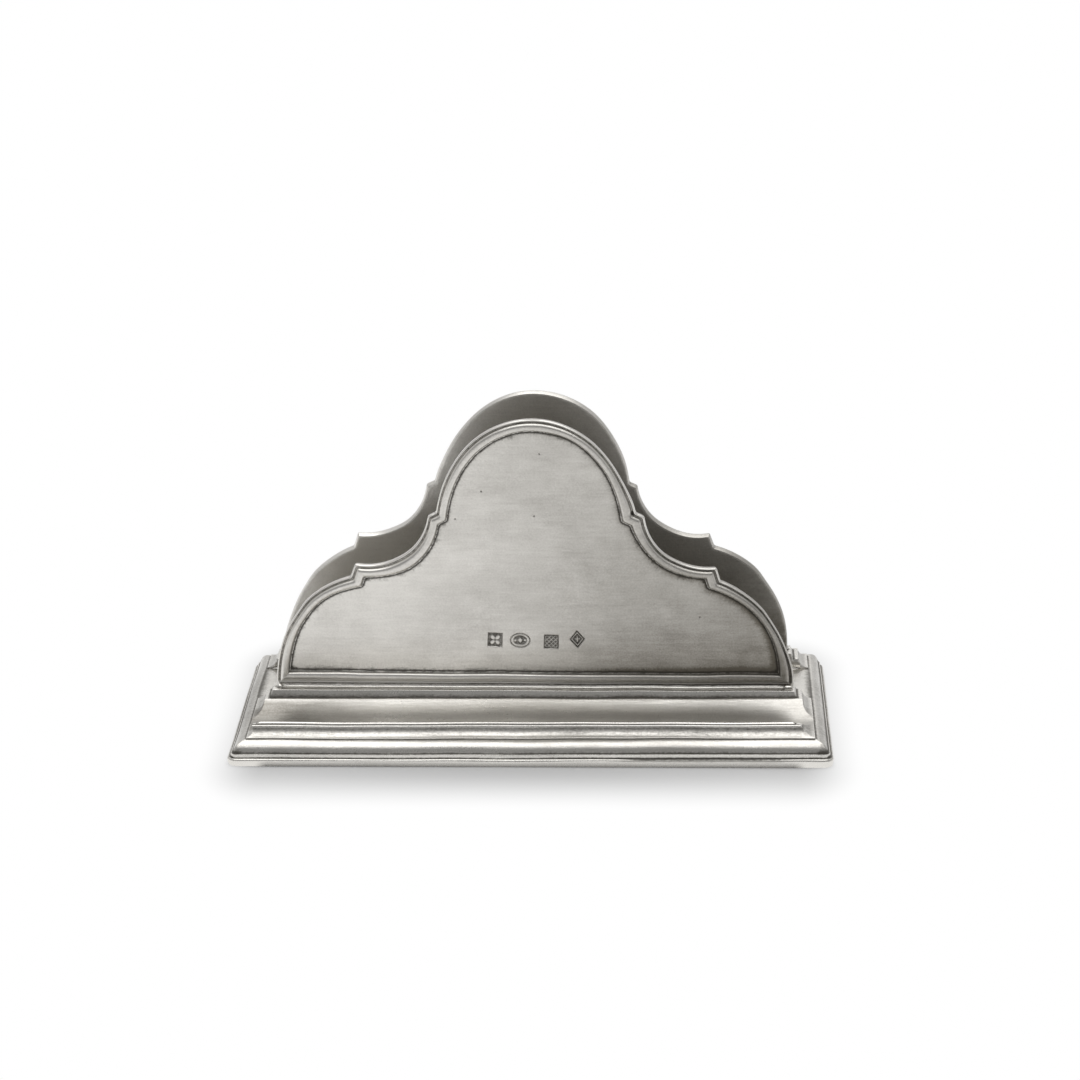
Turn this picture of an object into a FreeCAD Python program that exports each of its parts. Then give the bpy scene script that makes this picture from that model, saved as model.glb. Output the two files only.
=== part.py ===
"""Desk letter holder with a pen trough, cast in pewter and soldered together.

A hollow moulded plinth carries two upper blocks: a pen tray in front and a
plain step behind.  Each block carries an upright scroll-topped plate, and the
letters stand in the open channel between the two plates.

Frame: millimetres, +X to the right, +Z up, the pen trough towards -Y.  The
origin is the middle of the base's footprint, on the surface it stands on.
"""
import FreeCAD, Part
import math
import os
from FreeCAD import Vector

# ---------------------------------------------------------------- base, overall
base_width = 180.0          # over the bottom beads, left to right
channel_width = 28.3        # clear gap between the two plates, for the letters
plate_thickness = 4.1       # over the raised rim

# ---------------------------------------------------------------- plinth moulding
plinth_height = 6.7         # ground to channel floor
bead_height = 2.3           # rounded bottom bead
bead_swell_height = 1.15    # where the bead is widest
bead_foot_inset = 0.25      # the bead's foot is tucked in under its swell
bead_top_inset = 1.0        # where the bead's round ends
ledge_rise = 0.7            # upright of the narrow ledge above the bead
ledge_run = 0.5             # flat top of that ledge, up to the quarter round
round_run = 3.9             # quarter round, measured inwards
plinth_corner_radius = 3.0  # plan radius of the bead's corners
plinth_wall = 6.6           # moulding edge to the hollow underneath
plinth_web = 2.2            # metal left between hollow and block pockets
hollow_corner_radius = 4.0

# ---------------------------------------------------------------- upper moulding
edge_rise = 0.5             # upright edge standing on the plinth
cove_run = 2.9              # cove, measured inwards
cove_rise = 2.35
lip_rise = 0.65             # small upright between cove and lip
lip_draft = 0.3             # how far that upright leans in
lip_land = 0.35             # flat top of the lip, in front of the trough's rim
step_rise = 2.2             # riser from the lip to the platform
step_draft = 1.0            # how far the riser leans in
side_land = 1.3             # flat between lip edge and riser at the sides and back
platform_land = 3.0         # platform left in front of a plate

# ---------------------------------------------------------------- pen trough
rim_width = 1.1             # small raised rim along the trough's front
rim_rise = 0.6              # above the lip
rim_draft = 0.2             # how far the rim's two sides lean in
trough_width = 20.55        # rim to rear land
trough_depth = 3.2          # below the lips
trough_floor = 1.5          # metal left under the trough
rear_land = 1.0             # flat behind the trough, up to the riser

# ---------------------------------------------------------------- block joints
pocket_margin = 3.4         # block edge to its plug
pocket_clearance = 0.15     # round the plug and under it
seat_depth = 1.0            # rebate in the platform that a plate's foot drops into

# ---------------------------------------------------------------- plate outline
plate_rise = 83.9           # platform to crown
foot_rise = 2.1             # straight upright at the foot of each side lobe
lobe_radius = 33.2
lobe_end_angle = 17.0       # from the vertical, where the lobe meets its notch
lobe_notch_run = 1.4        # notch between lobe and shelf
lobe_notch_rise = 4.05
crown_radius = 27.0
crown_half_angle = 46.9     # from the vertical, crown arc to flank arc
flank_radius = 40.2
flank_end_angle = 79.9      # from the vertical, foot of the flank arc
shoulder_notch_run = 2.5    # notch between flank and shoulder
shoulder_notch_drop = 1.2
shoulder_sweep = 93.4       # angle that the hollow shoulder arc turns through

# ---------------------------------------------------------------- plate relief
fillet_width = 0.8          # low outer fillet round the rim
fillet_drop = 1.0           # how far it lies below the rim band
band_width = 2.95           # raised rim band
band_chamfer = 0.45         # eased edges of the band
panel_drop = 1.5            # panel below the band
panel_draft = 0.25          # slope of the band's inner wall

# ---------------------------------------------------------------- solder
plate_solder_leg = 0.9      # seam along the foot of each plate
solder_bead_radius = 1.5    # drop left at each end of that seam
channel_solder_leg = 1.2    # seam along each block in the channel

# ---------------------------------------------------------------- punched marks
mark_depth = 0.35
mark_height = 14.6          # mark centres above the platform
mark_pitch = 8.3            # centre to centre
square_mark = 4.4
oval_mark_width = 6.1
oval_mark_height = 4.6
lozenge_mark_width = 4.6
lozenge_mark_height = 5.6

# ---------------------------------------------------------------- derived places
round_inset = bead_top_inset + ledge_run
ledge_height = bead_height + ledge_rise
cove_inset = round_inset + round_run
lip_inset = cove_inset + cove_run + lip_draft
lip_height = plinth_height + edge_rise + cove_rise + lip_rise
platform_height = lip_height + step_rise
side_inset = lip_inset + side_land + step_draft

rim_start = lip_inset + lip_land
trough_start = rim_start + rim_width
trough_end = trough_start + trough_width
platform_start = trough_end + rear_land + step_draft
tray_depth = platform_start + platform_land + plate_thickness
step_depth = side_inset + platform_land + plate_thickness
base_depth = tray_depth + channel_width + step_depth

front_edge = -base_depth / 2
back_edge = base_depth / 2
channel_front = front_edge + tray_depth
channel_back = back_edge - step_depth

tray_plug = (front_edge + cove_inset + pocket_margin, channel_front - pocket_margin)
step_plug = (channel_back + pocket_margin, back_edge - cove_inset - pocket_margin)
plug_depth = trough_floor + trough_depth - (lip_height - plinth_height)
pocket_depth = plug_depth + pocket_clearance
hollow_depth = plinth_height - pocket_depth - plinth_web

plate_half_width = base_width / 2 - side_inset
seat_height = platform_height - seat_depth
crown_height = platform_height + plate_rise


class Outline:
    """A chain of lines and arcs in a plane, from 2-D points."""

    def __init__(self, start, to_space):
        self.to_space = to_space
        self.start = start
        self.last = start
        self.edges = []

    def line_to(self, end):
        a, b = self.to_space(*self.last), self.to_space(*end)
        self.edges.append(Part.LineSegment(a, b).toShape())
        self.last = end
        return self

    def arc_to(self, end, sweep_deg):
        """Arc through the given angle; a positive sweep turns left."""
        (x0, y0), (x1, y1) = self.last, end
        half = math.radians(sweep_deg) / 2
        chord_x, chord_y = x1 - x0, y1 - y0
        bow = math.tan(half / 2) / 2
        middle = ((x0 + x1) / 2 + chord_y * bow, (y0 + y1) / 2 - chord_x * bow)
        points = [self.to_space(*p) for p in (self.last, middle, end)]
        self.edges.append(Part.Arc(*points).toShape())
        self.last = end
        return self

    def wire(self):
        if math.dist(self.last, self.start) > 1e-6:
            self.line_to(self.start)
        return Part.Wire(self.edges)

    def face(self):
        return Part.Face(self.wire())


def block(x0, x1, y0, y1, z0, z1):
    """Box between two corners."""
    return Part.makeBox(x1 - x0, y1 - y0, z1 - z0, Vector(x0, y0, z0))


def rounded_block(x0, x1, y0, y1, z0, z1, radius):
    """Box with its four upright edges rounded."""
    solid = block(x0, x1, y0, y1, z0, z1)
    upright = [e for e in solid.Edges if abs(e.Vertexes[0].Z - e.Vertexes[1].Z) > 1e-6]
    return solid.makeFillet(radius, upright)


def along_x(u, v):
    """Section across Y and Z, to be drawn out along X."""
    return Vector(-base_width / 2, u, v)


def along_y(u, v):
    """Section across X and Z, to be drawn out along Y."""
    return Vector(u, front_edge, v)


# ---------------------------------------------------------------- mouldings
def quarter_turn(run, rise):
    """Angle of an arc over run and rise that starts along one of them."""
    return 2 * math.degrees(math.atan2(run, rise))


def plinth_edge(outline, edge, inward):
    """Bead, ledge and quarter round from the ground up; inward is the way to the middle."""
    foot_turn = quarter_turn(bead_foot_inset, bead_swell_height)
    bead_turn = quarter_turn(bead_top_inset, bead_height - bead_swell_height)
    round_turn = quarter_turn(plinth_height - ledge_height, round_run)
    outline.line_to((edge + inward * bead_foot_inset, 0.0))
    outline.arc_to((edge, bead_swell_height), -inward * foot_turn)
    outline.arc_to((edge + inward * bead_top_inset, bead_height), -inward * bead_turn)
    outline.line_to((edge + inward * bead_top_inset, ledge_height))
    outline.line_to((edge + inward * round_inset, ledge_height))
    outline.arc_to((edge + inward * cove_inset, plinth_height), -inward * round_turn)


def upper_edge(outline, edge, inward):
    """Upright edge, cove and lip, standing on the plinth."""
    cove_end = edge + inward * (cove_inset + cove_run)
    outline.line_to((edge + inward * cove_inset, plinth_height))
    outline.line_to((edge + inward * cove_inset, plinth_height + edge_rise))
    outline.arc_to((cove_end, lip_height - lip_rise), inward * quarter_turn(cove_rise, cove_run))
    outline.line_to((edge + inward * lip_inset, lip_height))


def stepped_edge(outline, edge, inward):
    """Upper edge with the riser behind its lip, up to the platform."""
    upper_edge(outline, edge, inward)
    outline.line_to((edge + inward * (lip_inset + side_land), lip_height))
    outline.line_to((edge + inward * side_inset, platform_height))


def mirrored_section(draw_edge, to_space, span, low, high):
    """Section between two heights with the same moulding at both sides."""
    halves = []
    for side in (-1, 1):
        half = Outline((0.0, low), to_space)
        draw_edge(half, side * span / 2, -side)
        half.line_to((0.0, high))
        halves += half.edges
    return Part.Face(Part.Wire(Part.sortEdges(halves)[0]))


# ---------------------------------------------------------------- base castings
def make_plinth():
    """Moulded slab, hollow underneath, with a pocket for each upper block."""
    long_section = mirrored_section(plinth_edge, along_x, base_depth, 0.0, plinth_height)
    cross_section = mirrored_section(plinth_edge, along_y, base_width, 0.0, plinth_height)
    long_run = long_section.extrude(Vector(base_width, 0, 0))
    cross_run = cross_section.extrude(Vector(0, base_depth, 0))
    half_width = base_width / 2
    corners = rounded_block(
        -half_width, half_width, front_edge, back_edge,
        0.0, plinth_height, plinth_corner_radius)
    plinth = long_run.common(cross_run).common(corners)
    hollow = rounded_block(
        -half_width + plinth_wall, half_width - plinth_wall,
        front_edge + plinth_wall, back_edge - plinth_wall,
        -1.0, hollow_depth, hollow_corner_radius)
    plinth = plinth.cut(hollow)
    for reach in (tray_plug, step_plug):
        plinth = plinth.cut(plug(reach, pocket_clearance))
    return plinth


def plug(reach, clearance):
    """Tongue under a block, or the pocket for it when clearance is given."""
    near, far = reach
    half = base_width / 2 - cove_inset - pocket_margin + clearance
    bottom = plinth_height - plug_depth - clearance
    return block(-half, half, near - clearance, far + clearance, bottom, plinth_height)


def upper_block(section, reach):
    """Section drawn out along X, moulded at both ends, with its plug."""
    ends = mirrored_section(stepped_edge, along_y, base_width, plinth_height, platform_height)
    solid = section.face().extrude(Vector(base_width, 0, 0))
    solid = solid.common(ends.extrude(Vector(0, base_depth, 0)))
    return solid.fuse(plug(reach, 0.0)).removeSplitter()


def make_tray():
    """Front block: cove, lip, rim, pen trough, platform and the seat for a plate."""
    trough_turn = 2 * quarter_turn(2 * trough_depth, trough_width)
    rim_height = lip_height + rim_rise
    section = Outline((channel_front, plinth_height), along_x)
    upper_edge(section, front_edge, 1)
    section.line_to((front_edge + rim_start, lip_height))
    section.line_to((front_edge + rim_start + rim_draft, rim_height))
    section.line_to((front_edge + trough_start - rim_draft, rim_height))
    section.line_to((front_edge + trough_start, lip_height))
    section.arc_to((front_edge + trough_end, lip_height), trough_turn)
    section.line_to((front_edge + trough_end + rear_land, lip_height))
    section.line_to((front_edge + platform_start, platform_height))
    section.line_to((channel_front - plate_thickness, platform_height))
    section.line_to((channel_front - plate_thickness, seat_height))
    section.line_to((channel_front, seat_height))
    return upper_block(section, tray_plug)


def make_step():
    """Rear block: cove, lip, riser, platform and the seat for a plate."""
    section = Outline((channel_back, plinth_height), along_x)
    stepped_edge(section, back_edge, -1)
    section.line_to((channel_back + plate_thickness, platform_height))
    section.line_to((channel_back + plate_thickness, seat_height))
    section.line_to((channel_back, seat_height))
    return upper_block(section, step_plug)


# ---------------------------------------------------------------- plates
def polar(centre, radius, angle):
    """Point on a circle, with the angle in degrees from straight up."""
    turn = math.radians(angle)
    return (centre[0] + radius * math.sin(turn), centre[1] + radius * math.cos(turn))


def plate_outline(side, foot):
    """Half outline from the foot to the crown; side is 1 for right, -1 for left."""
    crown_centre = (0.0, crown_height - crown_radius)
    crown_end = polar(crown_centre, crown_radius, crown_half_angle)
    flank_centre = polar(crown_centre, crown_radius - flank_radius, crown_half_angle)
    flank_end = polar(flank_centre, flank_radius, flank_end_angle)
    shoulder = (flank_end[0] + shoulder_notch_run, flank_end[1] - shoulder_notch_drop)
    lobe_centre = (plate_half_width - lobe_radius, platform_height + foot_rise)
    lobe_end = polar(lobe_centre, lobe_radius, lobe_end_angle)
    shelf = (lobe_end[0] - lobe_notch_run, lobe_end[1] + lobe_notch_rise)

    half = Outline((0.0, foot), lambda x, z: Vector(side * x, 0, z))
    half.line_to((plate_half_width, foot))
    half.line_to((plate_half_width, platform_height + foot_rise))
    half.arc_to(lobe_end, 90 - lobe_end_angle)
    half.line_to(shelf)
    half.arc_to(shoulder, -shoulder_sweep)
    half.line_to(flank_end)
    half.arc_to(crown_end, flank_end_angle - crown_half_angle)
    half.arc_to((0.0, crown_height), crown_half_angle)
    return half.edges


def plate_wire(foot):
    """Whole outline, standing in the plane y = 0."""
    return Part.Wire(Part.sortEdges(plate_outline(1, foot) + plate_outline(-1, foot))[0])


def inset_wire(wire, inset):
    """The outline moved inwards, with its corners kept sharp."""
    face = Part.Face(wire)
    return face.makeOffset2D(-inset, 2, False, False).Wires[0]


def slab(wire, y0, y1):
    """Outline drawn out from y0 to y1."""
    moved = wire.copy()
    moved.translate(Vector(0, y0, 0))
    return Part.Face(moved).extrude(Vector(0, y1 - y0, 0))


def tapered(wire_at_y0, y0, wire_at_y1, y1):
    """Solid between two like outlines at two depths."""
    near, far = wire_at_y0.copy(), wire_at_y1.copy()
    near.translate(Vector(0, y0, 0))
    far.translate(Vector(0, y1, 0))
    return Part.makeLoft([near, far], True, True)


def make_plate(marked):
    """Plate with its back in the plane y = 0 and its relief towards -Y."""
    foot_line = plate_wire(seat_height)
    relief_line = plate_wire(platform_height)
    band_face = -plate_thickness
    fillet_face = band_face + fillet_drop
    panel_face = band_face + panel_drop
    plate = slab(foot_line, fillet_face, 0.0)

    band_line = inset_wire(relief_line, fillet_width)
    eased_line = inset_wire(relief_line, fillet_width + band_chamfer)
    plate = plate.fuse(slab(band_line, band_face + band_chamfer, 0.0))
    plate = plate.fuse(tapered(band_line, band_face + band_chamfer, eased_line, band_face))
    foot = block(
        -plate_half_width, plate_half_width, band_face, 0.0,
        seat_height, platform_height + fillet_width)
    plate = plate.fuse(foot.common(slab(foot_line, band_face, 0.0)))

    rim = fillet_width + band_width
    wall_line = inset_wire(relief_line, rim)
    floor_line = inset_wire(relief_line, rim + panel_draft)
    mouth_line = inset_wire(relief_line, rim - band_chamfer)
    chamfer_depth = band_face + band_chamfer
    plate = plate.cut(tapered(mouth_line, band_face, wall_line, chamfer_depth))
    plate = plate.cut(tapered(wall_line, chamfer_depth, floor_line, panel_face))
    plate = plate.removeSplitter()
    if marked:
        for punch in mark_punches(panel_face):
            plate = plate.cut(punch)
    return plate


def mark_punches(panel_face):
    """Four plain punch marks in a row: square, oval, square, lozenge."""
    height = platform_height + mark_height
    y0, y1 = panel_face - 1.0, panel_face + mark_depth
    centres = [(index - 1.5) * mark_pitch for index in range(4)]
    punches = []
    for x in (centres[0], centres[2]):
        half = square_mark / 2
        punches.append(block(x - half, x + half, y0, y1, height - half, height + half))
    oval = Part.Ellipse(Vector(0, 0, 0), oval_mark_width / 2, oval_mark_height / 2).toShape()
    oval.rotate(Vector(0, 0, 0), Vector(1, 0, 0), 90)
    oval.translate(Vector(centres[1], 0, height))
    punches.append(slab(Part.Wire(oval), y0, y1))
    half_w, half_h = lozenge_mark_width / 2, lozenge_mark_height / 2
    corners = [(-half_w, 0), (0, half_h), (half_w, 0), (0, -half_h), (-half_w, 0)]
    lozenge = Part.makePolygon([Vector(centres[3] + u, 0, height + v) for u, v in corners])
    punches.append(slab(lozenge, y0, y1))
    return punches


def as_front(shape):
    """Stands a plate or its seam on the tray, its back in line with the channel."""
    placed = shape.copy()
    placed.translate(Vector(0, channel_front, 0))
    return placed


def as_rear(shape):
    """Turns a plate or its seam round and stands it on the rear step."""
    placed = shape.copy()
    placed.rotate(Vector(0, 0, 0), Vector(0, 0, 1), 180)
    placed.translate(Vector(0, channel_back, 0))
    return placed


# ---------------------------------------------------------------- solder
def seam(length, leg, corner_y, corner_z, away_y):
    """Hollow-faced fillet of solder along X, in an inside corner."""
    def to_space(u, v):
        return Vector(-length / 2, corner_y + away_y * u, corner_z + v)
    section = Outline((0.0, 0.0), to_space)
    section.line_to((leg, 0.0))
    section.arc_to((0.0, leg), -60.0)
    return section.face().extrude(Vector(length, 0, 0))


def make_plate_seam():
    """Seam along the foot of a plate, with the drop left at each end."""
    length = 2 * (plate_half_width - solder_bead_radius)
    front_face = -plate_thickness
    solder = seam(length, plate_solder_leg, front_face, platform_height, -1)
    room = block(
        -plate_half_width, plate_half_width, front_face - platform_land, front_face,
        platform_height, platform_height + 2 * solder_bead_radius)
    for side in (-1, 1):
        centre = Vector(side * length / 2, front_face, platform_height)
        drop = Part.makeSphere(solder_bead_radius, centre)
        solder = solder.fuse(drop.common(room))
    return solder.removeSplitter()


def make_channel_seam(wall_y, away_y):
    """Seam along a block's wall, on the channel floor."""
    length = base_width - 2 * (cove_inset + channel_solder_leg)
    return seam(length, channel_solder_leg, wall_y, plinth_height, away_y)


# ---------------------------------------------------------------- build
front_plate = as_front(make_plate(True))
rear_plate = as_rear(make_plate(False))
nodes = {
    "base_plinth": make_plinth(),
    "pen_tray": make_tray(),
    "rear_step": make_step(),
    "front_plate": front_plate,
    "rear_plate": rear_plate,
    "front_plate_solder": as_front(make_plate_seam()),
    "rear_plate_solder": as_rear(make_plate_seam()),
    "pen_tray_solder": make_channel_seam(channel_front, 1),
    "rear_step_solder": make_channel_seam(channel_back, -1),
}

os.makedirs("parts", exist_ok=True)
for name, shape in nodes.items():
    shape.exportStep(f"parts/{name}.step")
    box = shape.BoundBox
    print(f"{name:20s} solids {len(shape.Solids)} valid {shape.isValid()} "
          f"volume {shape.Volume / 1000:8.3f} cm3  "
          f"x {box.XMin:.2f} {box.XMax:.2f}  y {box.YMin:.2f} {box.YMax:.2f}  z {box.ZMin:.2f} {box.ZMax:.2f}")
print(f"base {base_width:.1f} x {base_depth:.1f}, height {crown_height:.1f}, "
      f"total {sum(s.Volume for s in nodes.values()) / 1000:.1f} cm3")
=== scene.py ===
"""Desk letter holder with a pen trough, cast in pewter and soldered together.

The file follows the object as it is put together: the hollow plinth, the pen
tray and the rear step that sit on it, the two scroll-topped plates, and the
solder that holds them.  Sizes are written in millimetres.
"""

import math

import bmesh
import bpy
import numpy as np
from mathutils import Matrix, Vector
from mathutils.geometry import delaunay_2d_cdt


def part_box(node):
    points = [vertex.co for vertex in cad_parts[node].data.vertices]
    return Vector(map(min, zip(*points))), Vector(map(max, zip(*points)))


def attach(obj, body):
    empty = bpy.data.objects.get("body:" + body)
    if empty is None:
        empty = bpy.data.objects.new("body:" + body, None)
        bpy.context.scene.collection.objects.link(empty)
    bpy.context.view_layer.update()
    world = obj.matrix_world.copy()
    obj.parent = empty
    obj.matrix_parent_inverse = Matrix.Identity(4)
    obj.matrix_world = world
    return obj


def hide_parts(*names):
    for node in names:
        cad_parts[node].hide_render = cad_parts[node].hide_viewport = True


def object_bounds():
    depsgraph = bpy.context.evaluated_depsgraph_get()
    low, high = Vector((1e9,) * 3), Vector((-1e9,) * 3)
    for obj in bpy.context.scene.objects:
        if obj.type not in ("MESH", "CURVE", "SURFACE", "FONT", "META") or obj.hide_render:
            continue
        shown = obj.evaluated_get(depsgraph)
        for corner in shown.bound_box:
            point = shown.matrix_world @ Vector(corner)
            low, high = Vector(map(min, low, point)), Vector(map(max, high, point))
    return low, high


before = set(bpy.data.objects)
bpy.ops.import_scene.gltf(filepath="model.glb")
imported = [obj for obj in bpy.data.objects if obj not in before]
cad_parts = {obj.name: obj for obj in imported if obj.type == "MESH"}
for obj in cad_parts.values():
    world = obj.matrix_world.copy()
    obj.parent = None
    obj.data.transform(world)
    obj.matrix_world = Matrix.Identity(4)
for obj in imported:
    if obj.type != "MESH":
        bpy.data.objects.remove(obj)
cad_box = [list(corner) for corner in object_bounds()]

# ---------------------------------------------------------------- plinth
# The lower casting: a shallow hollow slab of pewter with a rounded bead and a
# quarter round above it on four sides.  It is sand cast in one piece, filed and
# polished, and its hollows are left dark with oxide.
MM = 0.001
weld_distance = 2e-6
base_width, base_depth, plinth_height = (
    (high - low) / MM for low, high in zip(*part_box("base_plinth")))
front_edge = -base_depth / 2
bead_height, bead_swell_height = 2.3, 1.7
bead_foot_inset, bead_top_inset = 0.25, 1.0
bead_corner_radius = 3.0
ledge_height = 3.4          # a narrow ledge lies between the bead and the quarter round
round_inset = 1.5
cove_inset = 5.4            # the quarter round ends and the upper castings stand here
hollow_inset = 6.6
hollow_corner_radius = 4.0
hollow_height = 3.15


class Wire:
    """A socket of a node tree; Python arithmetic on it adds Math nodes."""

    def __init__(self, tree, socket=None):
        self.tree, self.socket = tree, socket

    def node(self, kind, inputs=None, **settings):
        """Any node: its settings first, then the values or links of its sockets."""
        made = self.tree.nodes.new(kind)
        for name, value in settings.items():
            setattr(made, name, value)
        for key, value in (inputs or {}).items():
            if isinstance(value, Wire):
                self.tree.links.new(value.socket, made.inputs[key])
            else:
                made.inputs[key].default_value = value
        return Wire(self.tree, made.outputs[0] if made.outputs else None)

    def out(self, name):
        """Another output of the same node."""
        return Wire(self.tree, self.socket.node.outputs[name])

    def maths(self, operation, *values, clamp=False):
        return self.node("ShaderNodeMath", dict(enumerate(values)),
                         operation=operation, use_clamp=clamp)

    def vector(self, operation, *values):
        return self.node("ShaderNodeVectorMath", dict(enumerate(values)), operation=operation)

    def parts(self):
        """A vector taken apart; its outputs are X, Y and Z."""
        return self.node("ShaderNodeSeparateXYZ", {0: self})

    def xyz(self, x=0.0, y=0.0, z=0.0):
        """A vector put together."""
        return self.node("ShaderNodeCombineXYZ", {"X": x, "Y": y, "Z": z})

    def clamped(self):
        """Held between 0 and 1."""
        return self.maths("ADD", self, 0.0, clamp=True)

    def step(self, low, high):
        """0 below low, 1 above high, and smooth between."""
        return self.node("ShaderNodeMapRange", {"Value": self, "From Min": low, "From Max": high},
                         interpolation_type="SMOOTHSTEP")

    def colour(self, low, high):
        """Mixes two colours, with this wire as the share of the second."""
        mixed = self.node("ShaderNodeMix", {0: self, 6: low, 7: high}, data_type="RGBA")
        return Wire(self.tree, mixed.socket.node.outputs[2])

    def noise(self, place, per_unit, detail, rough):
        """Noise from about 0 to 1; per_unit is how often it changes along X, Y and Z."""
        spot = self.vector("MULTIPLY", place, per_unit)
        return self.node("ShaderNodeTexNoise", {"Vector": spot, "Scale": 1.0, "Detail": detail,
                                                "Roughness": rough})


for sign, operation in (("add", "ADD"), ("sub", "SUBTRACT"), ("mul", "MULTIPLY"),
                        ("truediv", "DIVIDE"), ("mod", "MODULO")):
    setattr(Wire, f"__{sign}__", lambda self, other, how=operation: self.maths(how, self, other))
    setattr(Wire, f"__r{sign}__", lambda self, other, how=operation: self.maths(how, other, self))


def cleared(owner):
    """The empty node tree of a material or a world."""
    owner.use_nodes = True
    owner.node_tree.nodes.clear()
    return Wire(owner.node_tree)


def pewter(name, film, gloss, brushing, shade_drift=0.0):
    """Antiqued pewter: bright metal under a thin dark film that is rubbed through unevenly.

    film is how much of it is left on an open face, and the last argument how much painted shade
    darkens the right side, more so low down; gloss is the metal's roughness and brushing how
    strongly it is brushed along X.  The wear attribute is 1 on rubbed edges and painted highlights
    and -1 in hollows and under painted shade; "hem" holds a spot's run along the foot of a wall,
    in mm, its nearness to it and any painted shade on top of the even film.
    """
    bright, filmed, oxide = ((*tint, 1.0) for tint in (
        (0.76, 0.74, 0.70), (0.150, 0.136, 0.112), (0.050, 0.044, 0.034)))
    material = bpy.data.materials.new(name)
    start = cleared(material)
    place = start.node("ShaderNodeTexCoord").out("Object")
    wear = start.node("ShaderNodeAttribute", attribute_name="wear").out("Fac")
    hem = start.node("ShaderNodeAttribute", attribute_name="hem").out("Vector")
    near = hem.parts().out("Y")

    clouds = start.noise(place, (28, 28, 50), 2.0, 0.5)
    blotches = start.noise(place, (130, 170, 180), 4.0, 0.62)
    brushed = start.noise(place, (100, 900, 1300), 4.0, 0.6)
    speckle = start.noise(place, (1700, 1700, 1900), 4.0, 0.75)
    grime = start.noise(place, (450, 1300, 1400), 5.0, 0.75)
    scratches = start.noise(place, (120, 2500, 3400), 3.0, 0.6)
    streaks = start.noise(hem, (2.6, 2.2, 0.0), 4.0, 0.7)

    rubbed = (wear * 1.2 + (blotches - 0.5) * 0.7).step(0.25, 0.95)
    foot = (near + (grime - 0.5) * 0.08 + (speckle - 0.5) * 0.07).step(0.90, 0.985)
    scuffed = near.step(0.60, 0.84) * (1.0 - near.step(0.88, 0.95)) * (streaks * 2.6 - 0.9)
    hollow = (grime - 0.5) * 0.8 + (speckle - 0.5) * 0.6 + (clouds - 0.5) * 0.5 - wear * 1.2
    hollow = start.maths("MAXIMUM", hollow.step(0.15, 0.95), foot)

    spot = place.parts()
    # Painted shade: the film is made thicker towards the right, and more so low on the plate, where
    # dark reflections and shade fall.
    right_and_low_shade = spot.out("X").step(-0.050, 0.066)
    right_and_low_shade = right_and_low_shade * (1.0 + 0.6 * (1.0 - spot.out("Z").step(0.015, 0.055)))
    left = (clouds - 0.5) * 0.46 + (blotches - 0.5) * 0.30 + (brushed - 0.5) * (brushing * 0.4)
    left = left + (speckle - 0.5) * 0.42 + (film + right_and_low_shade * shade_drift) + hem.parts().out("Z")
    # Patina and painted shade: a darker halo along the foot of the wall, stronger on the right.
    left = left + near.step(0.62, 1.0) * (0.08 + right_and_low_shade * 0.30)
    left = (left - rubbed * 0.40 - scuffed * 0.17).clamped()
    metal = (hollow * 0.92).colour(left.colour(bright, filmed), oxide)

    rough = gloss + (left - 0.5) * 0.16 + (speckle - 0.5) * 0.20 + (brushed - 0.5) * 0.08
    rough = rough + hollow * 0.25
    height = brushed * brushing + scratches * (brushing * 0.6) + speckle * 0.7 + blotches * 0.6
    bump = start.node("ShaderNodeBump", {"Strength": 0.35, "Distance": 0.00012,
                                         "Height": height - hollow * 0.8})
    surface = start.node("ShaderNodeBsdfPrincipled", {
        "Base Color": metal, "Metallic": 1.0 - hollow * 0.45, "Roughness": rough.clamped(),
        "Normal": bump})
    start.node("ShaderNodeOutputMaterial", {"Surface": surface})
    return material


def blurred(rows, reach, width):
    """Rows averaged over their neighbours by a bell curve; reach rows are lost at each end."""
    weight = np.exp(-0.5 * (np.arange(-reach, reach + 1) / width) ** 2)
    return np.stack([np.convolve(column, weight / weight.sum(), "valid")
                     for column in rows.T], axis=1)


def worn(points, softness, finest=12.0, longest=4.0):
    """A line of points dressed as worn metal: every corner eased, then thinned.

    Returns rows of the points' own columns and last the crease, above 0 on an outside
    corner and below 0 in an inside one.  The metal is on the line's right.  finest is the
    turn in degrees, and longest the run, that is left between two rows.
    """
    fine = 0.04
    line = np.array(points, float)
    run = np.concatenate([[0.0], np.cumsum(np.linalg.norm(np.diff(line, axis=0), axis=1))])
    along = np.linspace(0.0, run[-1], int(run[-1] / fine) + 2)
    line = np.stack([np.interp(along, run, column) for column in line.T], axis=1)

    def smooth(rows, width):
        reach = int(4 * width / fine) + 1
        head = 2 * rows[0] - rows[1:reach + 1][::-1]
        tail = 2 * rows[-1] - rows[-reach - 1:-1][::-1]
        return blurred(np.concatenate([head, rows, tail]), reach, width / fine)

    line = smooth(line, softness)
    step = np.diff(line[:, :2], axis=0)
    heading = np.unwrap(np.arctan2(step[:, 1], step[:, 0]))
    turn = np.concatenate([[0.0], np.diff(heading), [0.0]])
    sharp, broad = (smooth(-turn[:, None] / fine, width)[:, 0] for width in (0.12, 0.42))
    crease = np.clip(sharp / 2.5, 0.0, 1.0) + np.clip(broad / 1.3, -1.0, 0.0)
    cost = np.abs(turn) / math.radians(finest) + fine / longest
    chosen = np.unique(np.floor(np.cumsum(cost)), return_index=True)[1]
    chosen = np.unique(np.concatenate([[0], chosen, [len(line) - 1]]))
    return np.column_stack([line[chosen], np.clip(crease[chosen], -1.0, 1.0)])


def arc_centre(start, end, sweep_deg):
    """Centre of an arc that turns left on its way if its sweep is positive."""
    chord = end - start
    return (start + end) / 2 + np.array([-chord[1], chord[0]]) / 2 / math.tan(
        math.radians(sweep_deg) / 2)


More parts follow.
